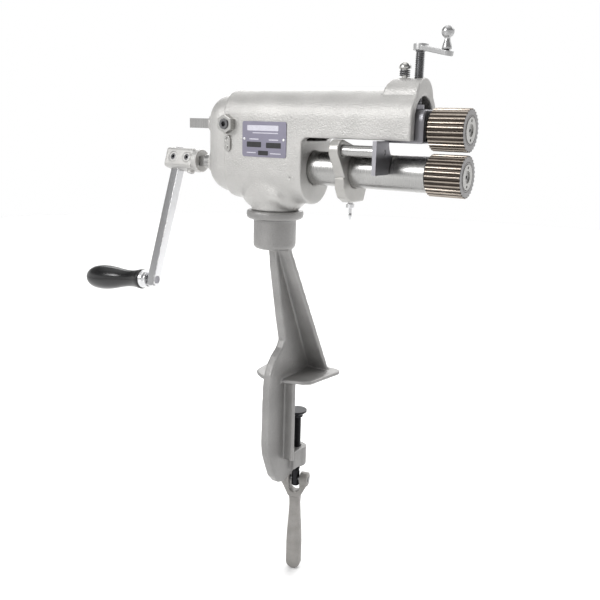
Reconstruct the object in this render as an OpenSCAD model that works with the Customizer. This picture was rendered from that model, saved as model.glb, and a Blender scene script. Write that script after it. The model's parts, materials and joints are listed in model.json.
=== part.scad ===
// Hand-cranked bench rotary machine for crimping sheet metal, on a swivelling C-clamp standard.
// Origin: on the clamp screw's axis, in the face of the clamp's upper plate that sits on the bench.
// +X runs along the two shafts towards the rolls, +Z is up, and the bench lies towards +Y.

/* [Head] */
// Height of the lower shaft above the bench face
shaft_height = 297; // [294:1:300]
// Distance from the clamp screw's axis to the post axis
post_offset = 66; // [64:0.5:68]
// Distance between the two shafts at rest
shaft_gap = 50.3; // [50.2:0.05:50.4]
// Half the width of the head casting
body_r = 35; // [34:0.5:36]
// Height of the arm's top above the lower shaft
arm_top = 94.5; // [94:0.5:97]
// Height of the arm's underside above the lower shaft
arm_under = 37; // [36.5:0.5:38]
// Front end of the arm
arm_front = 201; // [200:0.5:202]
// Face of the casting at the back of the throat
throat_x = 60; // [58:1:62]
// Seam between the casting and the rear cover
seam_x = -58; // [-60:1:-56]
// Rear end of the cover
cover_end = -98; // [-100:1:-97]
// Radius of the rear cover's ends
cover_r = 32; // [31.5:0.5:33]
// Thickness of the casting's walls
wall = 6; // [5.5:0.5:6]

/* [Shafts and rolls] */
// Radius of both shafts at their bearings
shaft_r = 11; // [10.5:0.1:11.2]
// Width across the square ends of the shafts
square_w = 12.7; // [12:0.1:13]
// Outer radius of the fixed tube round the lower shaft
sleeve_r = 20.65; // [20:0.05:21]
// Outer radius of the rolls
roll_r = 23.8; // [23.5:0.05:23.9]
// Length of the rolls
roll_len = 41.4; // [38:0.1:42]
// Front face of the rolls
roll_front = 256.2; // [252:0.1:257]
// Number of flutes on each roll
flutes = 28; // [28]
// Depth of the flutes
flute_depth = 1.9; // [1.5:0.1:2.2]
// Number of teeth on each gear
gear_teeth = 16; // [16]

/* [Crank] */
// Angle that the crank arm hangs out from straight down
crank_angle = 19.3; // [0:0.1:45]
// Width of the square crank arm
arm_w = 12.7; // [12:0.1:13]
// Distance from the shaft to the arm's lower end
crank_len = 181; // [150:1:185]
// Distance from the shaft to the grip's spindle
spindle_r = 172; // [140:1:174]
// Length of the turning grip
grip_len = 108; // [95:1:110]
// Angle that the grip's spindle leans away from the shaft
grip_lean = 5.5; // [0:0.5:6]

/* [Standard and clamp] */
// Outer radius of the post socket
cup_r = 27.9; // [27:0.1:29]
// Radius of the post and its socket
post_r = 19; // [18:0.5:20]
// Radius of the clamp screw
screw_r = 6.35; // [6:0.05:6.5]
// Opening of the clamp between the bench face and the pad
clamp_open = 58; // [45:1:60]
// Thickness of the clamp's upper plate
plate_t = 5; // [4:0.5:6]
// Angle of the handle's pin from +X
pin_angle = 17; // [0:1:40]
// Length of the clamp handle below its pin
handle_len = 150; // [120:1:152]

/* [Hidden] */
$fn = 48;
fit = 0.05;
clear = 0.3;
face_z = -shaft_height;
top_c = arm_top - body_r;
low_c = -10;
cover_round = 30;
sleeve_end = 213;
roll_back = roll_front - roll_len;
pivot_x = -50;
chamber_r = body_r - wall;
chamber_front = 34;
corner_r = 9;
chamber_low = -5;
chamber_high = 55;
lip_x = -54;
slot_w = 23.5;
slot_c = 62.5;
adjust_x = 191.5;
stud_x = 174;
boss_top = 106.8;
block_rear = 164;
block_front = 211;
block_low = 34.5;
block_round = 57.8;
block_top = 71.7;
gauge_x = 111;
rod_y = -34;
rod_z = 24;
plate_x = 166;
arm_x = -163.4;
hub_front = -122.3;
block_end = -131.5;
crank_end = -178;
gear_x = -32;
gear_w = 18;
neck_z = -56.5;
ring_top = -56.6;
ring_h = 11;
cup_bottom = -104;
jaw_top = -411;
jaw_bottom = -440;
pad_top = face_z - clamp_open;
pin_z = -464;
lever_angle = -16;
thumb_angle = -57;
lever_len = 36;

// ---- helpers ----

// Places children that are drawn with the lower shaft's axis over the post as their origin
module head() {
  translate([0, -post_offset, shaft_height]) children();
}

// Cylinder along X from x0 to x1 at height z
module x_cyl(r, x0, x1, z = 0, y = 0) {
  translate([x0, y, z]) rotate([0, 90, 0]) cylinder(r = r, h = x1 - x0);
}

// Cylinder along Y from y0 to y1
module y_cyl(r, y0, y1, x, z) {
  translate([x, y1, z]) rotate([90, 0, 0]) cylinder(r = r, h = y1 - y0);
}

// Box given by its low and high corners
module span(low, high) {
  translate(low) cube(high - low);
}

// Upright stadium along X: round above z1 and below z0
module stadium(r, x0, x1, z0, z1) {
  x_cyl(r, x0, x1, z1);
  x_cyl(r, x0, x1, z0);
  span([x0, -r, z0], [x1, r, z1]);
}

// Outline of half a pan, radius across and depth up, with one rounded edge
module pan_half(r, depth, edge) {
  square([r - edge, depth]);
  square([r, depth - edge]);
  translate([r - edge, depth - edge]) intersection() {
    circle(r = edge, $fn = 96);
    square(edge);
  }
}

// Rounded pan of a stadium's outline, from x0 back to x0 - depth
module pan(r, x0, depth, edge, z0, z1) {
  for (z = [z0, z1])
    translate([x0, 0, z]) rotate([0, -90, 0]) rotate_extrude($fn = 96) pan_half(r, depth, edge);
  translate([x0, 0, z0]) linear_extrude(z1 - z0) rotate([0, 0, 90]) {
    pan_half(r, depth, edge);
    mirror([1, 0]) pan_half(r, depth, edge);
  }
}

// Square bar along X
module x_square(w, x0, x1, z = 0) {
  span([x0, -w / 2, z - w / 2], [x1, w / 2, z + w / 2]);
}

// Rectangle with round corners, centred
module round_rect(w, h, r) {
  square([w - 2 * r, h], center = true);
  square([w, h - 2 * r], center = true);
  for (x = [-1, 1], y = [-1, 1]) translate([x * (w / 2 - r), y * (h / 2 - r)]) circle(r = r);
}

// Point at radius r and angle a
function polar(r, a) = [r * cos(a), r * sin(a)];

// Roll outline: flutes with narrow crests and narrow roots
function flute_points(phase) = [for (i = [0 : flutes - 1], s = [[-0.36, 1], [-0.12, 0], [0.12, 0], [0.36, 1]])
  polar(roll_r - s[1] * flute_depth, (i + s[0] + phase) * 360 / flutes)];

// Involute gear outline
gear_module = shaft_gap / gear_teeth;
pitch_r = shaft_gap / 2;
base_r = pitch_r * cos(20);
tip_r = pitch_r + 0.85 * gear_module;
root_r = pitch_r - 1.4 * gear_module;
gear_backlash = 0.9;
function roll_angle(r) = sqrt(max(0, pow(r / base_r, 2) - 1)) * 180 / PI;
function involute(r) = roll_angle(r) - atan(roll_angle(r) * PI / 180);
half_tooth = 90 / gear_teeth - gear_backlash / 2 / pitch_r * 180 / PI + involute(pitch_r);
flank_steps = 4;
function flank_r(k) = base_r + (tip_r - base_r) * k / flank_steps;
function tooth_points(a) = concat(
  [polar(root_r, a - half_tooth)],
  [for (k = [0 : flank_steps]) polar(flank_r(k), a - half_tooth + involute(flank_r(k)))],
  [for (k = [flank_steps : -1 : 0]) polar(flank_r(k), a + half_tooth - involute(flank_r(k)))],
  [polar(root_r, a + half_tooth)]);
function gear_points(phase) = [for (i = [0 : gear_teeth - 1], p = tooth_points((i + phase) * 360 / gear_teeth)) p];

// Extrudes an outline along X, with the outline's Y as up
module along_x(x0, x1, z = 0) {
  translate([x0, 0, z]) rotate([90, 0, 90]) linear_extrude(x1 - x0) children();
}

// ---- standard ----

// The web's outline from the side: stem, spine and jaw. First value is Y, second is Z.
module web_outline() {
  polygon([[-6, cup_bottom + 2], [6, cup_bottom + 2], [92, face_z + 8], [92, face_z], [27, face_z],
    [27, jaw_top - 2], [60, jaw_top - 2], [60, jaw_bottom], [44, jaw_bottom - 7], [26, jaw_bottom - 12],
    [12, jaw_bottom - 8], [0, jaw_bottom + 5], [-10, jaw_top], [-15, jaw_top + 14], [-17, jaw_top + 30],
    [-15, -300], [-12, -281], [-6, -268], [3, -257], [15, -248], [21, -238], [13, -207], [-3, -130]]);
}

// Sloping flange on the bench side of the stem, widening downwards
module stem_flange() {
  intersection() {
    rotate([90, 0, 90]) linear_extrude(120, center = true)
      polygon([[-5, cup_bottom + 2], [3, cup_bottom + 2], [93, face_z + 1], [85, face_z + 1]]);
    rotate([90, 0, 0]) linear_extrude(300, center = true)
      polygon([[-8, cup_bottom + 4], [24, cup_bottom + 4], [37, face_z], [-34, face_z]]);
  }
}

module bench_plate() {
  translate([0, 0, face_z]) linear_extrude(plate_t) {
    polygon([[-12, 9], [12, 13], [38, 22], [45.5, 30], [54, 89], [-54, 89], [-48, 34], [-45, 25], [-38, 18], [-26, 10]]);
    for (s = [-1, 1]) translate([s * 42, 89]) circle(r = 12);
    translate([-42, 80]) square([84, 21]);
  }
}

module stand_casting() color([0.62, 0.61, 0.60]) head() difference() {
  union() {
    translate([0, 0, ring_top - ring_h]) rotate_extrude()
      polygon([[0, 0], [34.5, 0], [37, 2.5], [37, ring_h - 1.5], [35.5, ring_h], [0, ring_h]]);
    translate([0, 0, cup_bottom - 3]) rotate_extrude() {
      translate([0, 6]) square([cup_r, 40]);
      square([cup_r - 6, 10]);
      translate([cup_r - 6, 6]) circle(r = 6);
    }
    rotate([90, 0, 90]) linear_extrude(13, center = true) web_outline();
    stem_flange();
    bench_plate();
    span([-22, 21, jaw_top - 4], [22, 27, face_z + 1]);
    translate([0, post_offset, jaw_bottom]) cylinder(r = 15, h = jaw_top - jaw_bottom);
    span([-13.5, 40, jaw_bottom + 2], [13.5, post_offset, jaw_top]);
    y_cyl(8, 20, 32, 0, -84);
  }
  translate([0, 0, cup_bottom + 6]) cylinder(r = post_r + fit, h = 60);
  translate([0, post_offset, jaw_bottom - 20]) cylinder(r = screw_r + fit, h = 60);
  y_cyl(4, 10, 40, 0, -84);
}

module swivel_lock_screw() color([0.25, 0.25, 0.27]) head() {
  y_cyl(3.95, post_r + 0.2, 33, 0, -84);
  span([-4.5, 32.9, -88.5], [4.5, 41, -79.5]);
}

// ---- head casting ----

module arm_shell() {
  difference() {
    x_cyl(body_r, throat_x - 10, arm_front, top_c);
    span([throat_x - 20, -50, -50], [arm_front + 10, 50, top_c]);
  }
  span([throat_x - 10, -body_r, arm_under], [arm_front, body_r, top_c]);
}

module arm_boss() {
  intersection() {
    x_cyl(23, 150, arm_front, boss_top - 23.5);
    rotate([90, 0, 0]) linear_extrude(60, center = true)
      polygon([[158, 80], [arm_front, 80], [arm_front, boss_top], [164.5, boss_top], [159, arm_top]]);
  }
}

module neck() {
  rotate_extrude() polygon([[0, neck_z], [30.8, neck_z], [30.8, -48], [33, -38], [33, -12], [0, -12]]);
  translate([0, 0, cup_bottom + 7]) cylinder(r = post_r, h = 60);
}

// Concave corner between the throat wall and the arm
module throat_fillet() {
  translate([throat_x, 0, arm_under]) rotate([90, 0, 0]) linear_extrude(2 * body_r, center = true)
    difference() {
      translate([-1, -7]) square([8, 8]);
      translate([7, -7]) circle(r = 7);
    }
}

// Housing, with its upper and lower corners rounded at the seam
module housing() {
  bottom = low_c - body_r;
  intersection() {
    stadium(body_r, seam_x, throat_x, low_c, top_c);
    rotate([90, 0, 0]) linear_extrude(100, center = true) {
      translate([seam_x + corner_r, bottom - 1]) square([throat_x + 1 - seam_x - corner_r, arm_top - bottom + 2]);
      translate([seam_x, bottom + corner_r]) square([corner_r + 1, arm_top - bottom - 2 * corner_r]);
      for (z = [bottom + corner_r, arm_top - corner_r]) translate([seam_x + corner_r, z]) circle(r = corner_r);
    }
  }
}

// Underside of the housing where it spreads from the neck
module neck_blend() {
  intersection() {
    rotate_extrude() polygon([[0, -55], [31, -55], [40, -47], [44, -36], [35, -20], [0, -20]]);
    x_cyl(46, seam_x + 12, throat_x, -9);
    span([seam_x, -body_r + 0.2, -60], [throat_x, body_r - 0.2, 0]);
  }
}

module frame_casting() color([0.78, 0.76, 0.73]) head() difference() {
  union() {
    housing();
    arm_shell();
    arm_boss();
    neck();
    neck_blend();
    throat_fillet();
  }
  stadium(chamber_r, seam_x - 1, chamber_front, chamber_low, chamber_high);
  x_cyl(slot_w, chamber_front - 1, arm_front + 1, slot_c);
  span([chamber_front - 1, -slot_w, 33], [arm_front + 1, slot_w, slot_c]);
  x_cyl(sleeve_r, chamber_front - 1, throat_x + 1);
  y_cyl(screw_r + fit, -body_r - 1, body_r + 1, pivot_x, shaft_gap);
  translate([adjust_x, 0, 80]) cylinder(r = 5.6 + fit, h = 40);
  translate([stud_x, 0, 80]) cylinder(r = 5, h = 40);
  y_cyl(2, -body_r - 1, -body_r + 2.5, 44, -11.5);
  y_cyl(2.6, -body_r - 1, -chamber_r + 1, pivot_x, 24.5);
  for (z = [-46, 80]) translate([lip_x, 0, z]) cylinder(r = 3, h = 16);
}

// Tongues of the cover that sit inside the chamber's top and bottom
module cover_lip() {
  intersection() {
    difference() {
      stadium(chamber_r - 0.1, seam_x - 8, seam_x + 8, chamber_low, chamber_high);
      stadium(cover_r - 6.5, seam_x - 9, seam_x + 9, chamber_low, chamber_high);
    }
    span([seam_x - 9, -14, -60], [seam_x + 9, 14, 110]);
  }
}

module rear_cover() color([0.77, 0.75, 0.72]) head() {
  difference() {
    union() {
      pan(cover_r, seam_x - 0.2, seam_x - cover_end - 0.2, cover_round, chamber_low, chamber_high);
      x_cyl(13, cover_end - 5, cover_end + 8, shaft_gap);
      x_cyl(15, cover_end - 4, cover_end + 16);
    }
    pan(cover_r - 6, seam_x + 1, seam_x - cover_end - 4, cover_round - 6, chamber_low, chamber_high);
    x_cyl(11, cover_end - 10, cover_end + 20, shaft_gap);
    x_cyl(13, cover_end - 10, cover_end + 20);
  }
  cover_lip();
}

module cover_screws() color([0.3, 0.3, 0.32]) head() translate([lip_x, 0, 0]) {
  translate([0, 0, chamber_high + chamber_r + 0.2]) cylinder(r = 2.95, h = 6.5);
  translate([0, 0, chamber_low - chamber_r - 6.7]) cylinder(r = 2.95, h = 6.5);
}

module lower_sleeve() color([0.72, 0.71, 0.69]) head() difference() {
  x_cyl(sleeve_r, chamber_front, sleeve_end);
  x_cyl(14, chamber_front - 1, sleeve_end + 1);
}

module lower_front_bush() color([0.72, 0.52, 0.25]) head() difference() {
  x_cyl(14, sleeve_end - 40, sleeve_end);
  x_cyl(shaft_r + fit, sleeve_end - 41, sleeve_end + 1);
}

module lower_rear_bush() color([0.72, 0.52, 0.25]) head() difference() {
  x_cyl(13, cover_end - 4, cover_end + 5);
  x_cyl(9.5 + fit, cover_end - 5, cover_end + 6);
}

module pivot_screws() color([0.3, 0.3, 0.32]) head() for (s = [0, 1]) mirror([0, s, 0]) difference() {
  union() {
    y_cyl(screw_r, -45.5, -24.8, pivot_x, shaft_gap);
    y_cyl(5, -25, -18, pivot_x, shaft_gap);
  }
  translate([pivot_x, -41, shaft_gap]) rotate([90, 0, 0]) cylinder(r = 3.6, h = 6, $fn = 6);
}

module pivot_lock_nuts() color([0.5, 0.49, 0.47]) head() for (s = [0, 1]) mirror([0, s, 0]) difference() {
  translate([pivot_x, -body_r, shaft_gap]) rotate([90, 30, 0]) cylinder(r = 12, h = 9, $fn = 6);
  y_cyl(screw_r + fit, -50, -30, pivot_x, shaft_gap);
}

module oiler() color([0.6, 0.58, 0.55]) head() difference() {
  union() {
    y_cyl(2.55, -body_r - 2, -chamber_r, pivot_x, 24.5);
    for (z = [21, 32]) y_cyl(4.5, -body_r - 3, -body_r, pivot_x, z);
    span([pivot_x - 4.5, -body_r - 3, 21], [pivot_x + 4.5, -body_r, 32]);
    y_cyl(2.2, -body_r - 4.6, -body_r - 2, pivot_x, 21.5);
  }
  y_cyl(2, -body_r - 5, -body_r - 1, pivot_x, 32);
}

module nameplate() color([0.45, 0.44, 0.52]) head() difference() {
  translate([6, -body_r, 33]) rotate([90, 0, 0]) linear_extrude(0.8) round_rect(66, 43, 3);
  for (s = [-1, 1]) y_cyl(1.2, -body_r - 1, -body_r + 1, 6 + s * 29.5, 33);
}

module nameplate_rivets() color([0.85, 0.85, 0.85]) head() for (s = [-1, 1])
  translate([6 + s * 29.5, -body_r, 33]) rotate([90, 0, 0]) rotate_extrude()
    polygon([[0, 0], [1.15, 0], [1.15, 0.8], [1.9, 0.8], [1.4, 1.7], [0, 2]]);

// Points of one ring of the spring's wire
wire_r = 0.9;
coil_r = 5.4;
coils = 3.5;
coil_steps = 56;
wire_sides = 8;
spring_low = boss_top + wire_r + 0.1;
spring_high = 115.6 - wire_r;
function coil_point(i, k) = let (a = i * coils * 360 / coil_steps, b = k * 360 / wire_sides,
  r = coil_r + wire_r * cos(b))
  [r * cos(a), r * sin(a), spring_low + (spring_high - spring_low) * i / coil_steps + wire_r * sin(b)];
coil_points = [for (i = [0 : coil_steps], k = [0 : wire_sides - 1]) coil_point(i, k)];
coil_faces = concat(
  [[for (k = [0 : wire_sides - 1]) k]],
  [for (i = [0 : coil_steps - 1], k = [0 : wire_sides - 1]) let (n = (k + 1) % wire_sides)
    [i * wire_sides + k, (i + 1) * wire_sides + k, (i + 1) * wire_sides + n, i * wire_sides + n]],
  [[for (k = [wire_sides - 1 : -1 : 0]) coil_steps * wire_sides + k]]);

module lift_spring() color([0.3, 0.3, 0.3]) head() translate([stud_x, 0, 0])
  polyhedron(coil_points, coil_faces, convexity = 6);

// ---- upper carrier ----

module rear_bearing_block() color([0.55, 0.54, 0.52]) head() difference() {
  union() {
    span([pivot_x - 14, -22, shaft_gap - 12], [pivot_x + 14, 22, shaft_gap + 12]);
    x_cyl(19, pivot_x - 14, pivot_x + 14, shaft_gap);
  }
  x_cyl(14, pivot_x - 15, pivot_x + 15, shaft_gap);
  for (s = [0, 1]) mirror([0, s, 0]) y_cyl(5 + fit, -25, -17, pivot_x, shaft_gap);
}

module front_bearing_block() color([0.6, 0.59, 0.57]) head() difference() {
  intersection() {
    span([block_rear, -slot_w + clear, block_low], [block_front, slot_w - clear, block_top]);
    stadium(slot_w - clear, block_rear - 1, block_front + 1, block_low, block_round);
  }
  x_cyl(14, block_rear - 1, block_front + 1, shaft_gap);
  translate([stud_x, 0, 60]) cylinder(r = 3.5, h = 20);
}

module upper_bush(x0, x1) {
  color([0.72, 0.52, 0.25]) head() difference() {
    x_cyl(14, x0, x1, shaft_gap);
    x_cyl(shaft_r + fit, x0 - 1, x1 + 1, shaft_gap);
  }
}

module upper_rear_bush() upper_bush(pivot_x - 14, pivot_x + 14);
module upper_front_bush() upper_bush(block_rear, block_front);

module lift_stud() color([0.35, 0.35, 0.36]) head() translate([stud_x, 0, 0]) {
  translate([0, 0, shaft_gap + 14.3]) cylinder(r = 3.5, h = 116 - shaft_gap - 14.3);
  translate([0, 0, 115.8]) rotate_extrude() intersection() {
    translate([0, 1]) circle(r = 7);
    square([7, 9]);
  }
}

// ---- shafts ----

// Shaft with a square rear end, a bearing step and a threaded nose
module shaft(z, square_end, step_end, step_r, seat) {
  difference() {
    union() {
      x_square(square_w, square_end, step_end + 1, z);
      x_cyl(step_r, step_end, pivot_x - 20, z);
      x_cyl(shaft_r, pivot_x - 20, seat, z);
      x_cyl(9.5, seat - 1, roll_front - 8.5, z);
      x_cyl(7, roll_front - 9, roll_front - 1, z);
    }
    span([gear_x, -2.5, z + shaft_r - 2.5], [gear_x + gear_w, 2.5, z + shaft_r + 5]);
    span([roll_back + 4, -2.5, z + 7], [roll_front - 12, 2.5, z + 15]);
    x_cyl(2, roll_front - 8, roll_front, z);
  }
}

module upper_shaft() color([0.7, 0.69, 0.67]) head() {
  shaft(shaft_gap, -139, -103.5, 9, roll_back);
  difference() {
    x_cyl(16, block_front + 1, roll_back - 0.2, shaft_gap);
    x_cyl(shaft_r - 1, block_front, roll_back + 5, shaft_gap);
  }
}

module lower_shaft() color([0.7, 0.69, 0.67]) head() {
  shaft(0, -152, -112, 9.5, roll_back);
  difference() {
    x_cyl(18, sleeve_end + 0.5, roll_back - 0.2);
    x_cyl(shaft_r - 1, sleeve_end, roll_back + 5);
  }
}

module gear(z, phase) {
  color([0.45, 0.44, 0.42]) head() difference() {
    along_x(gear_x, gear_x + gear_w, z) polygon(gear_points(phase));
    x_cyl(shaft_r, gear_x - 1, gear_x + gear_w + 1, z);
    span([gear_x - 1, -2.5, z + shaft_r - 2], [gear_x + gear_w + 1, 2.5, z + shaft_r + 2.5]);
  }
}

module key(x0, x1, z0, z1) {
  color([0.4, 0.4, 0.4]) head() span([x0, -2.45, z0], [x1, 2.45, z1]);
}

module upper_gear() gear(shaft_gap, 0.5);
module lower_gear() gear(0, 0);
module upper_gear_key() key(gear_x + 0.5, gear_x + gear_w - 0.5, shaft_gap + shaft_r - 2.45, shaft_gap + shaft_r + 2.4);
module lower_gear_key() key(gear_x + 0.5, gear_x + gear_w - 0.5, shaft_r - 2.45, shaft_r + 2.4);
module upper_roll_key() key(roll_back + 4.5, roll_front - 12.5, shaft_gap + 7.05, shaft_gap + 11.9);
module lower_roll_key() key(roll_back + 4.5, roll_front - 12.5, 7.05, 11.9);

module roll(z, phase) {
  color([0.72, 0.66, 0.56]) head() difference() {
    along_x(roll_back, roll_front, z) polygon(flute_points(phase));
    x_cyl(9.5, roll_back - 1, roll_front + 1, z);
    x_cyl(14.5, roll_front - 8, roll_front + 1, z);
    span([roll_back - 1, -2.5, z + 5], [roll_front - 7, 2.5, z + 12]);
  }
}

module upper_roll() roll(shaft_gap, 0.5);
module lower_roll() roll(0, 0);

module roll_nut(z) {
  color([0.6, 0.59, 0.57]) head() difference() {
    x_cyl(14.2, roll_front - 7.8, roll_front + 0.4, z);
    x_cyl(7, roll_front - 9, roll_front + 1, z);
    for (s = [-1, 1]) x_cyl(1.6, roll_front - 3, roll_front + 1, z + s * 10.4);
  }
}

module upper_roll_nut() roll_nut(shaft_gap);
module lower_roll_nut() roll_nut(0);

// ---- crank ----

// Turns children with the crank arm
module crank() {
  head() rotate([-crank_angle, 0, 0]) children();
}

module crank_hub() color([0.74, 0.73, 0.71]) crank() difference() {
  union() {
    along_x(crank_end, block_end + 0.5) round_rect(28, 28, 5);
    x_cyl(15.3, block_end, hub_front);
    y_cyl(6.6, -15, -10, arm_x, 0);
    y_cyl(6.4, -15.4, -10, -139, 0);
    translate([-139, 0, -18.5]) cylinder(r = 5.2, h = 8);
  }
  rotate([crank_angle, 0, 0]) x_square(square_w + 0.1, -153, hub_front + 1);
  translate([arm_x, 0, 0]) cube([arm_w + 0.1, arm_w + 0.1, 60], center = true);
  y_cyl(4, -20, -6.4, arm_x, 0);
  y_cyl(4, -20, -6.4, -139, 0);
  translate([-139, 0, -20]) cylinder(r = 3, h = 13.6);
}

// Headless screw with a hexagon socket, along -Y from y0 to y1
module socket_screw(r, y0, y1, x) {
  difference() {
    y_cyl(r, y0, y1, x, 0);
    translate([x, y0 + 4, 0]) rotate([90, 0, 0]) cylinder(r = r * 0.6, h = 5, $fn = 6);
  }
}

module hub_set_screws() color([0.3, 0.3, 0.32]) crank() {
  socket_screw(3.95, -14.4, -6.4, arm_x);
  difference() {
    socket_screw(3.95, -14.8, -6.4, -139);
    rotate([crank_angle, 0, 0]) x_square(square_w + 0.1, -153, hub_front + 1);
  }
  difference() {
    translate([-139, 0, -18]) cylinder(r = 2.95, h = 9);
    rotate([crank_angle, 0, 0]) x_square(square_w + 0.1, -153, hub_front + 1);
  }
}

module crank_arm() color([0.86, 0.86, 0.86]) crank() difference() {
  span([arm_x - arm_w / 2, -arm_w / 2, -crank_len], [arm_x + arm_w / 2, arm_w / 2, 16]);
  at_spindle() translate([0, 0, -20]) cylinder(r = 5, h = 40);
}

// Places children on the grip's spindle, with Z pointing out along the grip from the arm
module at_spindle() {
  translate([arm_x, 0, -spindle_r]) rotate([0, -90 - grip_lean, 0]) children();
}

module grip_spindle() color([0.7, 0.7, 0.7]) crank() at_spindle() {
  translate([0, 0, -6.2]) cylinder(r = 5, h = grip_len - 1.8);
  translate([0, 0, grip_len - 8.5]) cylinder(r = 6.5, h = 3);
}

// Outline of the turned grip: radius across, distance from the arm up
module grip_outline() {
  polygon([[5 + fit, 19], [12.6, 19], [13.9, 21.2], [13.5, 25], [12.4, 31], [11.7, 38], [11.8, 46],
    [13, 57], [15.2, 70], [16.9, 82], [17.5, 92], [17.2, 101], [15.7, 110], [12.9, 117.5],
    [8.5, 122.8], [3.2, 125], [0, 125], [0, grip_len - 2], [6.5 + fit, grip_len - 2],
    [6.5 + fit, grip_len - 9], [5 + fit, grip_len - 9]]);
}

module crank_grip() color([0.05, 0.05, 0.05]) crank() at_spindle() rotate_extrude() grip_outline();

module grip_ferrule() color([0.8, 0.8, 0.8]) crank() at_spindle() rotate_extrude()
  polygon([[5 + fit, 7.5], [10.4, 7.5], [11.2, 8.6], [11.2, 14.5], [12.3, 18.9], [5 + fit, 18.9]]);

// ---- adjusting screw ----

module thrust_pad() color([0.4, 0.4, 0.4]) head() translate([adjust_x, 0, block_top + 0.15]) difference() {
  cylinder(r = 8, h = 5);
  translate([0, 0, 2]) cylinder(r = 4 + fit, h = 4);
}

module adjusting_screw() color([0.3, 0.3, 0.32]) head() translate([adjust_x, 0, 0]) {
  translate([0, 0, block_top + 5.2]) cylinder(r = 5.6, h = 141 - block_top - 5.2);
  translate([0, 0, block_top + 2.2]) cylinder(r = 4, h = 4);
}

// Places children at the lever's level, with X pointing along the lever
module at_lever() {
  head() translate([adjust_x, 0, 138.5]) rotate([0, 0, lever_angle]) children();
}

module adjusting_lever() color([0.72, 0.71, 0.7]) at_lever() difference() {
  union() {
    translate([0, 0, -3.5]) cylinder(r = 8.5, h = 7);
    rotate([0, 12, 0]) translate([0, 0, -2.8]) linear_extrude(5.4) {
      translate([4, -6.5]) square([lever_len, 13]);
      translate([lever_len + 2, 0]) circle(r = 6.5);
    }
  }
  translate([0, 0, -10]) cylinder(r = 5.6, h = 20);
  at_ball() translate([0, 0, -12]) cylinder(r = 3, h = 13);
}

// Places children where the ball handle stands on the lever
module at_ball() {
  translate([lever_len, 0, -4.6]) children();
}

module ball_handle() color([0.75, 0.74, 0.73]) at_lever() at_ball() {
  translate([0, 0, -5]) cylinder(r = 3, h = 6);
  rotate_extrude() polygon([[0, 0.2], [5, 0.2], [5.2, 3], [4.4, 6.5], [3.2, 9], [3, 12], [3.6, 14], [0, 14]]);
  translate([0, 0, 18.3]) sphere(r = 7);
}

// ---- gauge ----

module gauge_bracket() color([0.76, 0.75, 0.73]) head() difference() {
  union() {
    x_cyl(28.5, gauge_x - 6.5, gauge_x + 6.5);
    x_cyl(12.5, gauge_x - 6.5, gauge_x + 6.5, rod_z, rod_y);
    along_x(gauge_x - 6.5, gauge_x + 6.5)
      polygon([[rod_y + 6, rod_z + 11], [rod_y - 11.5, rod_z - 5], [-27, -9], [20, -20], [16, 23.5]]);
    along_x(gauge_x - 6.5, gauge_x + 6.5)
      polygon([[-30, -8], [-29, -20], [-22, -32], [-10, -38], [22, -38], [30, -18]]);
  }
  x_cyl(sleeve_r + fit, gauge_x - 10, gauge_x + 10);
  x_cyl(6.5, gauge_x - 10, gauge_x + 10, rod_z, rod_y);
  translate([gauge_x, 0, -50]) cylinder(r = 3.2 + fit, h = 31);
  translate([gauge_x, rod_y, rod_z]) rotate([-50, 0, 0]) cylinder(r = 2.5, h = 20);
}

module gauge_rod() color([0.75, 0.74, 0.72]) head() x_cyl(6.5, gauge_x - 6.5, plate_x - 0.5, rod_z, rod_y);

module gauge_plate() color([0.6, 0.6, 0.62]) head() difference() {
  along_x(plate_x, plate_x + 5) polygon([[-55, -1], [-23, -1],
    [-14, 18], [-17, 20], [-20, 23], [-22.5, 27], [-24, 32], [-24.5, 36.5], [-55, 36.5]]);
  x_cyl(sleeve_r + 1.5, plate_x - 1, plate_x + 6);
  x_cyl(3, plate_x - 1, plate_x + 6, rod_z, rod_y);
}

module gauge_set_screw() color([0.3, 0.3, 0.32]) head() {
  x_cyl(2.95, plate_x - 0.5, plate_x + 4.5, rod_z, rod_y);
}

module gauge_thumb_screw() color([0.88, 0.88, 0.88]) head() translate([gauge_x, 0, 0]) {
  translate([0, 0, -42]) cylinder(r = 3.2, h = 21);
  translate([0, 0, -45]) cylinder(r = 5, h = 5);
  rotate([0, 0, thumb_angle]) rotate([90, 0, 0]) linear_extrude(3.4, center = true) {
    translate([-4.5, -54.5]) square([9, 10.5]);
    translate([0, -54.5]) circle(r = 5.5);
  }
}

// ---- clamp ----

module clamp_pad() color([0.2, 0.19, 0.19]) translate([0, 0, -clamp_open]) difference() {
  rotate_extrude() polygon([[0, 0], [14, 0], [14, -2.5], [8.5, -7], [8.5, -10], [0, -10]]);
  translate([0, 0, -11]) cylinder(r = 5 + fit, h = 7);
}

module clamp_screw() color([0.2, 0.19, 0.19]) head() translate([0, post_offset, 0]) difference() {
  union() {
    translate([0, 0, -475]) cylinder(r = screw_r, h = 475 + pad_top - 10.2);
    translate([0, 0, pad_top - 11]) cylinder(r = 5, h = 6.6);
  }
  at_pin() cylinder(r = 4, h = 30, center = true);
}

// Places children on the handle's pin, with Z along the pin
module at_pin() {
  translate([0, 0, pin_z]) rotate([0, 0, pin_angle]) rotate([0, 90, 0]) children();
}

module clamp_handle_pin() color([0.3, 0.29, 0.29]) head() translate([0, post_offset, 0])
  at_pin() cylinder(r = 3.9, h = 41, center = true);

// Outline of the handle seen square to the pin: width across, height up from the pin
module handle_blade() {
  polygon([[-10.5, -18], [-7.9, -32], [-7.5, -42], [-8.6, -62], [-10.4, -90], [-11, -106], [-11, 11 - handle_len],
    [11, 11 - handle_len], [11, -106], [10.4, -90], [8.6, -62], [7.5, -42], [7.9, -32], [10.5, -18]]);
  translate([0, 11 - handle_len]) circle(r = 11);
}

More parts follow.
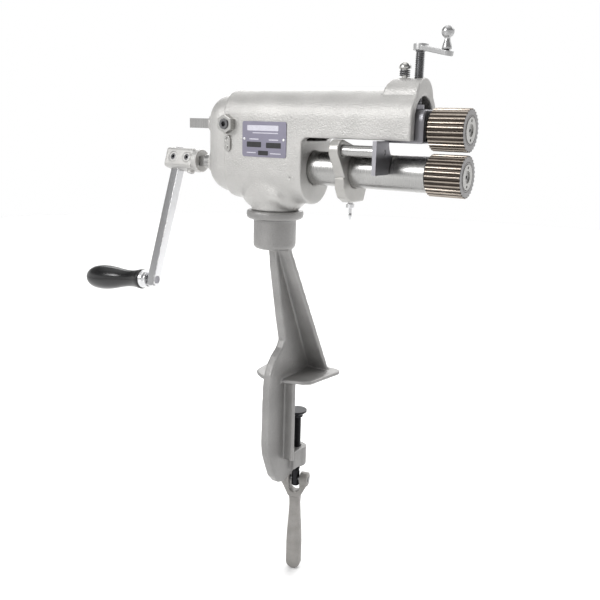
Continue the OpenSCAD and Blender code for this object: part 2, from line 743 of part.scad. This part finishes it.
module clamp_handle() color([0.5, 0.48, 0.46]) head() translate([0, post_offset, pin_z])
  rotate([0, 0, pin_angle]) difference() {
    union() {
      rotate([90, 0, 0]) linear_extrude(12, center = true) handle_blade();
      x_cyl(10.5, -20, 20);
      rotate([90, 0, 0]) linear_extrude(16, center = true)
        polygon([[-20, 0], [20, 0], [20, -6], [9, -28], [-9, -28], [-20, -6]]);
    }
    span([-7.7, -20, -14], [7.7, 20, 20]);
    y_cyl(7.7, -20, 20, 0, -13);
    x_cyl(3.9, -21, 21);
  }

stand_casting();
swivel_lock_screw();
frame_casting();
rear_cover();
cover_screws();
lower_sleeve();
lower_front_bush();
lower_rear_bush();
pivot_screws();
pivot_lock_nuts();
oiler();
nameplate();
nameplate_rivets();
lift_spring();
rear_bearing_block();
front_bearing_block();
upper_rear_bush();
upper_front_bush();
lift_stud();
upper_shaft();
upper_gear();
upper_gear_key();
upper_roll();
upper_roll_key();
upper_roll_nut();
lower_shaft();
lower_gear();
lower_gear_key();
lower_roll();
lower_roll_key();
lower_roll_nut();
crank_hub();
hub_set_screws();
crank_arm();
grip_spindle();
crank_grip();
grip_ferrule();
thrust_pad();
adjusting_screw();
adjusting_lever();
ball_handle();
gauge_bracket();
gauge_rod();
gauge_plate();
gauge_set_screw();
gauge_thumb_screw();
clamp_pad();
clamp_screw();
clamp_handle();
clamp_handle_pin();
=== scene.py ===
import bpy
import json
import math
from mathutils import Matrix, Vector


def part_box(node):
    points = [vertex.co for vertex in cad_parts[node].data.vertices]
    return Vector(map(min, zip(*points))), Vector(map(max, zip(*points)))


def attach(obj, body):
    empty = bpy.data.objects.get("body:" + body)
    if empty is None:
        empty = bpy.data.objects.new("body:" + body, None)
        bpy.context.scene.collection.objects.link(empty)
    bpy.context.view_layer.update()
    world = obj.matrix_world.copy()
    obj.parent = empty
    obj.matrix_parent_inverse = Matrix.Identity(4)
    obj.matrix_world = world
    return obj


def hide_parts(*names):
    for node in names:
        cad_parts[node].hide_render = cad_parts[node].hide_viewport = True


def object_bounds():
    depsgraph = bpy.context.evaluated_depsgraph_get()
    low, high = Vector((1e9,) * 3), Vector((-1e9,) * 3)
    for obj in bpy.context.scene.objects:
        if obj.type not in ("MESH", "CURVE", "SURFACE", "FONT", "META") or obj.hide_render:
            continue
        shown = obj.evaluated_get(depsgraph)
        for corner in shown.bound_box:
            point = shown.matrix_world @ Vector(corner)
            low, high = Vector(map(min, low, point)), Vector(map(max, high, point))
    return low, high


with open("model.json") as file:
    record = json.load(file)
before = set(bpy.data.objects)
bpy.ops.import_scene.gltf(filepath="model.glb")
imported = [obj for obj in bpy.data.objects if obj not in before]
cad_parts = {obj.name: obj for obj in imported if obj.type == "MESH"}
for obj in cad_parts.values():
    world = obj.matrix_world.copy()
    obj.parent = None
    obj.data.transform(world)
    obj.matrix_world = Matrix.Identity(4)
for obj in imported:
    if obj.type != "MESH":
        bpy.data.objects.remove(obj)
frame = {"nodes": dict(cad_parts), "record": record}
NODES = frame["nodes"]
size_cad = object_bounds()
MM = 0.001


def mid(node):
    low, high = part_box(node)
    return (Vector(low) + Vector(high)) / 2


# The lower shaft's axis at X = 0, with the height of the sleeve around it, and the distance up to the upper
# shaft. They place everything that is drawn on the head.
SHAFT = Vector((0, mid("lower_shaft").y, mid("lower_sleeve").z))
GAP = mid("upper_front_bush").z - SHAFT.z


# ---- camera, light and floor ----

CAMERA_AZIMUTH, CAMERA_ELEVATION = math.radians(32.593), math.radians(13.464)
CAMERA_ROLL = 0.026
CAMERA_LENS, SENSOR_WIDTH = 44.17, 36
# The camera's place, from SHAFT
CAMERA_PLACE = Vector((0.5461, -0.7885, 0.0529))


def camera():
    az, el = CAMERA_AZIMUTH, CAMERA_ELEVATION
    back = Vector((math.sin(az) * math.cos(el), -math.cos(az) * math.cos(el), math.sin(el)))
    right = (-back).cross(Vector((0, 0, 1))).normalized()
    up = right.cross(-back).normalized()
    c, s = math.cos(CAMERA_ROLL), math.sin(CAMERA_ROLL)
    x, y = c * right + s * up, -s * right + c * up
    data = bpy.data.cameras.new("camera")
    data.lens = CAMERA_LENS
    data.sensor_width = SENSOR_WIDTH
    data.clip_start = 0.01
    obj = bpy.data.objects.new("camera", data)
    turn = Matrix((x, y, back)).transposed().to_4x4()
    obj.matrix_world = Matrix.Translation(CAMERA_PLACE + SHAFT) @ turn
    bpy.context.collection.objects.link(obj)
    bpy.context.scene.camera = obj


def area(name, pos, aim, power, w, h):
    """Rectangular light of power watts, w by h metres, turned to aim."""
    data = bpy.data.lights.new(name, "AREA")
    data.shape = "RECTANGLE"
    data.size, data.size_y = w, h
    data.energy = power
    obj = bpy.data.objects.new(name, data)
    obj.location = pos
    obj.rotation_euler = (Vector(aim) - Vector(pos)).to_track_quat("-Z", "Y").to_euler()
    bpy.context.collection.objects.link(obj)


FLOOR_RADIUS, FLOOR_SIDES = 4.5, 96
# Brightness of the surroundings, from straight down (0) to straight up (1)
SKY = [(0.0, 1.0), (0.59, 1.0), (0.65, 0.30), (0.80, 0.20), (0.93, 0.9)]


def circle(r, n):
    """Points of a circle of radius r about the origin."""
    return [(r * math.cos(2 * math.pi * i / n), r * math.sin(2 * math.pi * i / n)) for i in range(n)]


def lay_floor():
    n = FLOOR_SIDES
    mesh = bpy.data.meshes.new("floor")
    verts = [(0, 0, 0)] + [(x, y, 0) for x, y in circle(FLOOR_RADIUS, n)]
    mesh.from_pydata(verts, [], [(0, i + 1, (i + 1) % n + 1) for i in range(n)])
    floor = bpy.data.objects.new("floor", mesh)
    floor.location = (0, 0, size_cad[0][2] - 0.0005)
    bpy.context.collection.objects.link(floor)
    mat = bpy.data.materials.new("floor_paper")
    mat.use_nodes = True
    bsdf = mat.node_tree.nodes["Principled BSDF"]
    bsdf.inputs["Base Color"].default_value = (0.97, 0.97, 0.97, 1)
    bsdf.inputs["Roughness"].default_value = 0.9
    bsdf.inputs["Specular IOR Level"].default_value = 0.1
    mesh.materials.append(mat)


def surroundings():
    """White to just over the horizon, dark above it and pale overhead, for the metal to reflect."""
    world = bpy.data.worlds.new("studio")
    bpy.context.scene.world = world
    world.use_nodes = True
    t = world.node_tree
    coord = t.nodes.new("ShaderNodeTexCoord")
    sep = t.nodes.new("ShaderNodeSeparateXYZ")
    ramp = t.nodes.new("ShaderNodeValToRGB")
    t.links.new(coord.outputs["Generated"], sep.inputs[0])
    half = t.nodes.new("ShaderNodeMapRange")
    half.inputs["From Min"].default_value = -1
    t.links.new(sep.outputs["Z"], half.inputs["Value"])
    t.links.new(half.outputs["Result"], ramp.inputs[0])
    elements = ramp.color_ramp.elements
    while len(elements) < len(SKY):
        elements.new(0.5)
    for e, (place, v) in zip(elements, SKY):
        e.position = place
    for e, (place, v) in zip(elements, SKY):
        e.color = (v, v, v, 1)
    t.links.new(ramp.outputs["Color"], t.nodes["Background"].inputs["Color"])
    t.nodes["Background"].inputs["Strength"].default_value = 1.0


def lights():
    head = (0.05, SHAFT.y, SHAFT.z)
    area("key", (-0.7, -1.6, SHAFT.z + 0.9), head, 20, 0.9, 0.7)
    area("top", (-0.1, -0.1, SHAFT.z + 1.6), head, 4, 1.4, 0.9)
    area("rim", (-0.9, 1.3, SHAFT.z + 0.6), head, 5, 0.9, 0.9)
    area("low", (-0.1, -1.5, SHAFT.z - 0.45), (0, 0, 0), 1.5, 1.2, 0.5)
    ground = size_cad[0][2]
    for k in range(2):
        x, y = -1.5 + 2.6 * k, 2.6
        area("floor_%d" % k, (x, y, ground + 2.4), (x, y, ground), 75, 3.5, 3.0)


def studio():
    bpy.context.scene.view_settings.view_transform = "Standard"
    lay_floor()
    surroundings()
    lights()


# ---- materials ----

def surface(name, color, metallic, rough, spread=0.06, patch=30, grain=(900, 900, 900), bump=0.2,
            deep=0.0002, rough_spread=0.06, edge=0.0, corner_shade=0.0, coat=0.0, speck=0.0):
    """A metal, paint or plastic with patches, fine grain, worn edges and painted shade in its corners.

    spread is how far the colour varies, patch and grain the scales of the patches and the grain, bump and
    deep the grain's strength and depth in metres, rough_spread how far the roughness varies, edge how much
    lighter edges are, corner_shade how much darker concave corners are painted as shade, coat the weight
    of a clear coat, and speck how dark the specks are."""
    mat = bpy.data.materials.new(name)
    mat.use_nodes = True
    t = mat.node_tree
    bsdf = t.nodes["Principled BSDF"]
    bsdf.inputs["Metallic"].default_value = metallic
    if coat:
        bsdf.inputs["Coat Weight"].default_value = coat
        bsdf.inputs["Coat Roughness"].default_value = 0.12

    def node(kind, **values):
        n = t.nodes.new(kind)
        for k, v in values.items():
            setattr(n, k, v)
        return n

    def noise(scale, detail, vec):
        n = node("ShaderNodeTexNoise")
        n.inputs["Scale"].default_value = scale
        n.inputs["Detail"].default_value = detail
        t.links.new(vec, n.inputs["Vector"])
        return n.outputs["Fac"]

    def spanned(value, a, b, low, high):
        n = node("ShaderNodeMapRange")
        for key, v in (("From Min", a), ("From Max", b), ("To Min", low), ("To Max", high)):
            n.inputs[key].default_value = v
        t.links.new(value, n.inputs["Value"])
        return n.outputs["Result"]

    def times(col, fac):
        n = node("ShaderNodeMix", data_type="RGBA", blend_type="MULTIPLY")
        n.inputs["Factor"].default_value = 1
        t.links.new(col, n.inputs[6])
        t.links.new(fac, n.inputs[7])
        return n.outputs[2]

    coord = node("ShaderNodeTexCoord").outputs["Object"]
    stretch = node("ShaderNodeMapping")
    stretch.inputs["Scale"].default_value = grain
    t.links.new(coord, stretch.inputs["Vector"])
    base = node("ShaderNodeRGB")
    base.outputs[0].default_value = (*color, 1)
    fine = noise(1.0, 3, stretch.outputs[0])
    col = times(base.outputs[0], spanned(noise(patch, 4, coord), 0.3, 0.7, 1 - spread, 1 + spread))
    col = times(col, spanned(fine, 0.3, 0.7, 1 - spread / 2, 1 + spread / 2))
    if speck:
        col = times(col, spanned(noise(420, 2, coord), 0.66, 0.72, 1.0, 1 - speck))
    rough_out = spanned(fine, 0.3, 0.7, rough - rough_spread, rough + rough_spread)
    if edge or corner_shade:
        point = node("ShaderNodeNewGeometry").outputs["Pointiness"]
        # Painted shade: concave corners, found by pointiness, are made darker.
        if corner_shade:
            col = times(col, spanned(point, 0.44, 0.5, 1 - corner_shade, 1.0))
        if edge:
            col = times(col, spanned(point, 0.51, 0.56, 1.0, 1 + edge))
    t.links.new(col, bsdf.inputs["Base Color"])
    t.links.new(rough_out, bsdf.inputs["Roughness"])
    if bump:
        b = node("ShaderNodeBump")
        b.inputs["Strength"].default_value = bump
        b.inputs["Distance"].default_value = deep
        t.links.new(fine, b.inputs["Height"])
        t.links.new(b.outputs[0], bsdf.inputs["Normal"])
    return mat


ROUND_X = (2600, 25, 25)
ALONG_X = (30, 2200, 2200)
MATS = {
    "head_paint": surface("silver_casting", (0.455, 0.448, 0.435), 0.5, 0.40, 0.08, 28, (620, 620, 620),
                          0.9, 0.0007, edge=0.16, corner_shade=0.4, speck=0.08),
    "stand_paint": surface("grey_casting", (0.27, 0.265, 0.26), 0.5, 0.40, 0.12, 22, (560, 560, 560), 0.8,
                           0.0006, edge=0.25, corner_shade=0.4, speck=0.12),
    "bracket_casting": surface("ground_casting", (0.40, 0.392, 0.376), 0.8, 0.36, 0.06, 60,
                               (900, 900, 900), 0.35, 0.0003, edge=0.2, corner_shade=0.4),
    "polished_steel": surface("polished_steel", (0.36, 0.357, 0.35), 1.0, 0.29, 0.05, 40, ROUND_X, 0.08,
                              0.00005, 0.05),
    "machined_steel": surface("machined_steel", (0.19, 0.187, 0.2), 1.0, 0.34, 0.06, 60, (1500, 1500, 90),
                              0.12, 0.00006, edge=0.9),
    "gear_steel": surface("gear_steel", (0.25, 0.24, 0.23), 1.0, 0.38, 0.1, 80, ROUND_X, 0.15, 0.00008),
    "roll_steel": surface("roll_steel", (0.33, 0.29, 0.25), 1.0, 0.26, 0.09, 70, ALONG_X, 0.15, 0.00006,
                          0.06, corner_shade=0.7),
    "roll_face": surface("roll_face", (0.27, 0.265, 0.265), 1.0, 0.36, 0.06, 90, (900, 900, 900), 0.1,
                         0.00006),
    # Dark colour for the roots of the flutes: oil there, and painted shade of the grooves.
    "flute_root_oil_and_shade": surface("flute_root_oil_and_shade", (0.055, 0.045, 0.038), 0.9, 0.42, 0.15, 90, ALONG_X, 0.15,
                           0.00006),
    "nut_steel": surface("nut_steel", (0.46, 0.455, 0.44), 1.0, 0.28, 0.06, 120, (1200, 1200, 1200), 0.12,
                         0.00006),
    "dark_steel": surface("dark_steel", (0.17, 0.17, 0.175), 1.0, 0.30, 0.12, 110, (1400, 1400, 1400),
                          0.2, 0.00008),
    "black_oxide": surface("black_oxide", (0.018, 0.018, 0.02), 0.8, 0.40, 0.2, 90, (1200, 1200, 1200),
                           0.2, 0.00008),
    "bronze": surface("bronze", (0.55, 0.36, 0.17), 1.0, 0.34, 0.08, 100, (1500, 1500, 1500), 0.2,
                      0.00008),
    "bright_plate": surface("bright_plate", (0.66, 0.66, 0.67), 1.0, 0.18, 0.03, 40, (1600, 1600, 40),
                            0.06, 0.00004, 0.04),
    "satin_steel": surface("satin_steel", (0.42, 0.42, 0.42), 0.95, 0.33, 0.05, 120, (1500, 1500, 1500),
                           0.06, 0.00003, 0.03),
    "grip_black": surface("gloss_black", (0.004, 0.004, 0.0045), 0.0, 0.2, 0.2, 60, (500, 500, 500), 0.03,
                          0.0001, 0.05, coat=0.25),
    "plate_metal": surface("plate_metal", (0.25, 0.24, 0.30), 0.75, 0.34, 0.05, 40, (40, 40, 2600), 0.1,
                           0.00004),
    "handle_iron": surface("handle_iron", (0.26, 0.25, 0.238), 0.45, 0.52, 0.12, 60, (560, 560, 560), 0.6,
                           0.0004, edge=0.3, corner_shade=0.5, speck=0.15),
}
INK = surface("plate_ink", (0.02, 0.02, 0.022), 0.2, 0.42, 0.2, 200, (2000, 2000, 2000), 0.1, 0.00004)
PALE = surface("plate_pale", (0.62, 0.61, 0.68), 0.7, 0.32, 0.05, 200, (2000, 2000, 2000), 0.1, 0.00004)
SLOTS = {s["node"]: s["material_slot"] for s in frame["record"]["subparts"]}


# ---- building ----

def add(name, mesh, body, slot, smooth=True, mats=None):
    """Puts a mesh in the scene, on its body and in its slot."""
    obj = bpy.data.objects.new(name, mesh)
    bpy.context.collection.objects.link(obj)
    mesh.materials.clear()
    for m in mats or [MATS[slot]]:
        mesh.materials.append(m)
    if smooth:
        mesh.shade_smooth()
    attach(obj, body)
    return obj


def body_of(node):
    """The body that carries a node."""
    return next(b for b, ns in frame["record"]["behaviour"]["bodies"].items() if node in ns)


def frozen(obj):
    """The object's mesh with its modifiers applied."""
    deps = bpy.context.evaluated_depsgraph_get()
    return bpy.data.meshes.new_from_object(obj.evaluated_get(deps))


def eased(u):
    """Runs smoothly from 0 to 1 as u does, and stays level outside."""
    u = min(1.0, max(0.0, u))
    return u * u * (3 - 2 * u)


def blended(mesh, weight, rounds):
    """The mesh, smoothed where weight says."""
    temp = bpy.data.objects.new("temp", mesh)
    bpy.context.collection.objects.link(temp)
    group = temp.vertex_groups.new(name="blend")
    for v in mesh.vertices:
        w = weight(v.co)
        if w > 0:
            group.add([v.index], w, "REPLACE")
    soft = temp.modifiers.new("soft", "SMOOTH")
    soft.factor = 0.5
    soft.iterations = rounds
    soft.vertex_group = group.name
    out = frozen(temp)
    bpy.data.objects.remove(temp)
    return out


def underside(co):
    """Where the housing spreads from its neck: 1 there, and 0 at the seam, the throat and the neck."""
    z = co.z - SHAFT.z
    return (eased((z + 0.053) / 0.005) * eased((-0.013 - z) / 0.007)
            * eased((co.x + 0.057) / 0.008) * eased((0.057 - co.x) / 0.010))


def cast(node, voxel, rounds, weight=None, extra=0):
    """Replaces a node with its own shape, with the soft edges and filled corners of a casting."""
    temp = bpy.data.objects.new("temp", NODES[node].data.copy())
    bpy.context.collection.objects.link(temp)
    remesh = temp.modifiers.new("remesh", "REMESH")
    remesh.mode = "VOXEL"
    remesh.voxel_size = voxel
    soft = temp.modifiers.new("soft", "SMOOTH")
    soft.factor = 0.5
    soft.iterations = rounds
    mesh = frozen(temp)
    bpy.data.objects.remove(temp)
    if weight:
        mesh = blended(mesh, weight, extra)
    obj = add(node + "_form", mesh, body_of(node), SLOTS[node])
    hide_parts(node)


def rings(name, rows, body, slot, closed_ends=True, mats=None):
    """Joins rows of points, each a closed ring, into a tube."""
    n = len(rows[0])
    verts = [p for row in rows for p in row]
    faces = []
    for i in range(len(rows) - 1):
        for k in range(n):
            m = (k + 1) % n
            faces.append((i * n + k, i * n + m, (i + 1) * n + m, (i + 1) * n + k))
    if closed_ends:
        faces.append(tuple(reversed(range(n))))
        faces.append(tuple(range((len(rows) - 1) * n, len(rows) * n)))
    mesh = bpy.data.meshes.new(name)
    mesh.from_pydata([tuple(v) for v in verts], [], faces)
    mesh.update()
    return add(name, mesh, body, slot, mats=mats)


def basis(axis):
    z = Vector(axis).normalized()
    x = z.orthogonal().normalized()
    return x, z.cross(x), z


def lathe(name, profile, origin, axis, body, slot, seg=72):
    """Turns a profile of (radius, height) in millimetres about an axis."""
    x, y, z = basis(axis)
    rows = []
    for r, h in profile:
        centre = Vector(origin) + z * h * MM
        rows.append([centre + (x * px + y * py) * max(r, 0.05) * MM for px, py in circle(1, seg)])
    return rings(name, rows, body, slot)


def curve(points, steps=5):
    """Catmull-Rom points through a profile."""
    out = []
    for i in range(len(points) - 1):
        before, start = points[max(0, i - 1)], points[i]
        end, after = points[i + 1], points[min(len(points) - 1, i + 2)]
        for k in range(steps):
            u = k / steps
            out.append(tuple(0.5 * (2 * b + (c - a) * u + (2 * a - 5 * b + 4 * c - d) * u * u
                                    + (3 * b - a - 3 * c + d) * u ** 3)
                             for a, b, c, d in zip(before, start, end, after)))
    return out + [points[-1]]


def threaded(name, x, y, z0, z1, r, pitch, depth, body, slot, ends):
    """A screw thread along Z from z0 to z1, between the (radius, height) rings of its plain ends."""
    seg, per = 40, 8
    steps = int((z1 - z0) / pitch * per)
    plain = [(z, [Vector((x + px, y + py, z)) for px, py in circle(r_end, seg)]) for r_end, z in ends]
    rows = [row for z, row in plain if z <= z0]
    for i in range(steps + 1):
        z = z0 + (z1 - z0) * i / steps
        row = []
        for k in range(seg):
            a = 2 * math.pi * k / seg
            u = ((z - z0) / pitch - k / seg) % 1.0
            ramp = min(1.0, 0.15 + 2.2 * abs(u - 0.5))
            fade = min(1.0, (z - z0) / pitch, (z1 - z) / pitch)
            cut = r - depth * (ramp if fade >= 1 else 1 - (1 - ramp) * max(fade, 0))
            row.append(Vector((x + cut * math.cos(a), y + cut * math.sin(a), z)))
        rows.append(row)
    rows += [row for z, row in plain if z >= z1]
    return rings(name, rows, body, slot)


def edged(node, width):
    """Breaks a machined node's edges."""
    obj = NODES[node]
    weld = obj.modifiers.new("weld", "WELD")
    weld.merge_threshold = 0.000004
    bevel = obj.modifiers.new("bevel", "BEVEL")
    bevel.width = width
    bevel.segments = 2
    bevel.limit_method = "ANGLE"
    bevel.angle_limit = math.radians(38)
    bevel.use_clamp_overlap = True
    obj.modifiers.new("normals", "WEIGHTED_NORMAL")


# ---- setting up ----

camera()
studio()
for obj_name, obj in NODES.items():
    obj.data.materials.clear()
    obj.data.materials.append(MATS[SLOTS[obj_name]])


# ---- castings and broken edges ----

# Node, size of the remesh in metres, and rounds of smoothing
CASTINGS = [("rear_cover", 0.0011, 10), ("stand_casting", 0.0011, 18), ("crank_hub", 0.0006, 9),
            ("gauge_bracket", 0.0007, 9), ("clamp_handle", 0.0007, 26), ("front_bearing_block", 0.0008, 22),
            ("adjusting_lever", 0.0004, 7), ("gauge_thumb_screw", 0.0003, 8), ("oiler", 0.0003, 6)]
# Width of the broken edges in metres, and the machined nodes that have them
EDGES = {0.0005: ("crank_arm", "gauge_plate"),
         0.0004: ("pivot_lock_nuts", "pivot_screws", "hub_set_screws", "upper_roll_nut", "lower_roll_nut",
                  "swivel_lock_screw", "clamp_handle_pin", "clamp_pad"),
         0.0003: ("lower_sleeve", "gauge_rod", "nameplate", "thrust_pad")}

cast("frame_casting", 0.0011, 12, underside, 160)
for n, voxel, rounds in CASTINGS:
    cast(n, voxel, rounds)
for width, nodes in EDGES.items():
    for n in nodes:
        edged(n, width)


# ---- rolls ----

def roll(node, z, phase):
    """A fluted roll with rounded crests, chamfered ends and a counterbored face."""
    low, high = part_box(node)
    full = (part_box("lower_roll")[1][1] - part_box("lower_roll")[0][1]) / 2
    flutes, per, depth = 28, 14, 0.0019
    crest, flank, crowned, crown = 0.10, 0.27, 0.12, 0.00012
    n = flutes * per

    def radius(k):
        """Radius at point k: u runs from 0 on a crest to 0.5 in a root."""
        u = abs((k / per - phase + 0.5) % 1.0 - 0.5)
        w = min(1.0, max(0.0, (u - crest) / flank))
        return full - depth * (3 * w * w - 2 * w ** 3) - crown * (u / crowned) ** 2 * (u < crowned)

    def ring(x, limit, plain=False):
        out = []
        for k in range(n):
            a = 2 * math.pi * k / n
            r = limit if plain else min(radius(k), limit)
            out.append(Vector((x, SHAFT.y + r * math.cos(a), z + r * math.sin(a))))
        return out

    x0, x1 = low[0], high[0]
    c, solid = 0.0003, full - depth - 0.0006
    bore, seat, seat_depth, groove = 0.0096, 0.0145, 0.008, 0.0163
    rows = [ring(x0, bore, True), ring(x0, solid, True), ring(x0, full - c), ring(x0 + c, full),
            ring(x1 - c, full), ring(x1, full - c), ring(x1, solid, True),
            ring(x1, groove + c, True), ring(x1 - c, groove, True), ring(x1, groove - c, True),
            ring(x1, seat + 0.0002, True),
            ring(x1 - 0.0004, seat, True), ring(x1 - seat_depth, seat, True),
            ring(x1 - seat_depth, bore, True)]
    rows.append(rows[0])
    obj = rings(node + "_form", rows, body_of(node), SLOTS[node], False,
                [MATS["roll_steel"], MATS["roll_face"], MATS["flute_root_oil_and_shade"]])
    # Faces across the roll are roll_face; those below 0.55 of the flutes' depth get the dark root colour,
    # oil with painted shade.
    for f in obj.data.polygons:
        from_axis = math.hypot(f.center.y - SHAFT.y, f.center.z - z)
        f.material_index = 1 if abs(f.normal.x) > 0.9 else 2 if from_axis < full - 0.55 * depth else 0
    obj.data.set_sharp_from_angle(angle=math.radians(35))
    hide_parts(node)


roll("upper_roll", SHAFT.z + GAP, 0.5)
roll("lower_roll", SHAFT.z, 0.0)


# ---- crank grip ----

# A point on the spindle's axis and the way the spindle runs. The profiles are (radius, distance from the
# point) in millimetres.
at_grip = Vector((-0.1634, -0.12285, SHAFT.z - 0.16233))
along_grip = Vector((-0.99540, -0.03168, -0.09046))
outer = [(12.5, 19), (13.6, 20.2), (13.85, 21.6), (13.5, 25), (12.4, 31), (11.75, 38), (11.85, 46),
         (13, 57), (15.2, 70), (16.9, 82), (17.45, 92), (17.1, 101), (15.7, 110), (12.9, 117.5),
         (8.5, 122.6), (3, 124.8), (0.1, 124.95)]
grip = lathe("crank_grip_form", [(5.2, 19)] + curve(outer), at_grip, along_grip, "crank_grip",
             "grip_black", 96)
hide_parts("crank_grip")
ferrule = lathe("grip_ferrule_form",
                [(5.2, 7.6), (10.1, 7.6), (10.8, 8.0), (11.1, 8.7), (11.2, 9.4), (11.2, 12.6),
                 (10.8, 13.0), (10.8, 13.5), (11.3, 14.0), (11.6, 15.0), (12.1, 17.4), (12.25, 18.6),
                 (12.0, 18.9), (5.2, 18.9)], at_grip, along_grip, "crank_grip", "bright_plate", 96)
ferrule.data.set_sharp_from_angle(angle=math.radians(40))
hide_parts("grip_ferrule")


# ---- screws, ball and spring ----

def arc(r, height, start, end, steps):
    """Profile points of an arc about a point of the axis, from start to end in degrees."""
    angles = [math.radians(start + (end - start) * i / steps) for i in range(steps + 1)]
    return [(r * math.cos(a), height + r * math.sin(a)) for a in angles]


low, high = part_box("adjusting_screw")
c = mid("adjusting_screw")
screw = threaded("adjusting_screw_form", c.x, c.y, low[2] + 0.004, high[2] - 0.0075, 0.0056, 0.002,
                 0.0011, "adjusting_screw", "dark_steel",
                 [(0.00395, low[2]), (0.00395, low[2] + 0.0029), (0.0045, low[2] + 0.0030),
                  (0.0055, high[2] - 0.0074), (0.0055, high[2] - 0.0006), (0.0049, high[2])])
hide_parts("adjusting_screw")
low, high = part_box("clamp_screw")
screw = threaded("clamp_screw_form", 0, 0, low[2] + 0.024, high[2] - 0.0072, 0.00635, 0.002, 0.0012,
                 "clamp_screw", "black_oxide",
                 [(0.0052, low[2]), (0.0060, low[2] + 0.0010), (0.0060, low[2] + 0.0225),
                  (0.0049, high[2] - 0.0066), (0.0049, high[2] - 0.0005), (0.0043, high[2])])
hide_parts("clamp_screw")

low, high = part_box("ball_handle")
c = mid("ball_handle")
top = (high[2] - low[2]) / MM
ball_r = 6.95
ball = [(2.9, 0), (2.9, 5.1), (5.0, 5.25), (5.3, 5.7), (5.3, 7.2), (5.0, 8.6), (4.4, 11.2), (3.5, 13.6),
        (3.1, 15.4), (3.05, 16.4)]
ball += arc(ball_r, top - ball_r, -62, 90, 14)
obj = lathe("ball_handle_form", ball, (c.x, c.y, low[2]), (0, 0, 1), "adjusting_screw",
            "satin_steel", 64)
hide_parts("ball_handle")

low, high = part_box("lift_stud")
c = mid("lift_stud")
tall = (high[2] - low[2]) / MM
head_tall, dome_r = 8.2, 7.0
head = tall - head_tall
stud = [(3.2, 0), (3.5, 0.4), (3.5, head - 6), (3.5, head), (6.4, head), (6.9, head + 0.5),
        (dome_r, head + 1.4)]
stud += arc(dome_r, head_tall - dome_r + head, 7, 90, 11)[1:]
obj = lathe("lift_stud_form", stud, (c.x, c.y, low[2]), (0, 0, 1), "upper_carrier", "nut_steel", 64)
obj.data.set_sharp_from_angle(angle=math.radians(40))
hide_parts("lift_stud")

weld = NODES["lift_spring"].modifiers.new("weld", "WELD")
weld.merge_threshold = 0.00001
NODES["lift_spring"].modifiers.new("round", "SUBSURF").levels = 1


# ---- nameplate ----

def plaque(name, panels, mat):
    """Thin rounded panels on the nameplate: centre, width, height and corner radius, in millimetres."""
    low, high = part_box("nameplate")
    cx, cz, face = (low[0] + high[0]) / 2, (low[2] + high[2]) / 2, low[1]
    verts, faces = [], []
    for x, z, w, h, r in panels:
        base = len(verts)
        ring = []
        for sx, sz, start in ((1, 1, 0), (-1, 1, 90), (-1, -1, 180), (1, -1, 270)):
            for i in range(6):
                a = math.radians(start + 18 * i)
                ring.append((x + sx * (w / 2 - r) + r * math.cos(a),
                             z + sz * (h / 2 - r) + r * math.sin(a)))
        for inset, y in ((0, 0.0), (0, -0.10), (0.08, -0.16)):
            for px, pz in ring:
                dx, dz = px - x, pz - z
                d = math.hypot(dx, dz) or 1
                verts.append((cx + (px - dx / d * inset) * MM, face + y * MM,
                              cz + (pz - dz / d * inset) * MM))
        m = len(ring)
        for row in range(2):
            for i in range(m):
                j = (i + 1) % m
                faces.append((base + row * m + i, base + row * m + j, base + (row + 1) * m + j,
                              base + (row + 1) * m + i))
        faces.append(tuple(base + 2 * m + i for i in range(m)))
    mesh = bpy.data.meshes.new(name)
    mesh.from_pydata(verts, [], faces)
    mesh.update()
    return add(name, mesh, "head_frame", "plate_metal", False, [mat])


plaque("nameplate_dark_fields", [(-15, -6.5, 22, 6.6, 0.6), (14.5, -7, 22, 6.6, 0.6),
                                 (-1, -16.5, 15, 5.4, 0.6)], INK)
plaque("nameplate_pale_bars", [(-2, 13.5, 47, 6.5, 1.2), (2, 7.6, 38, 1.1, 0.4),
                               (-15, 0, 14, 1.3, 0.4), (14.5, -0.4, 14, 1.3, 0.4),
                               (-19, -16.5, 14, 1.1, 0.4), (17.5, -16.8, 16, 1.1, 0.4)], PALE)
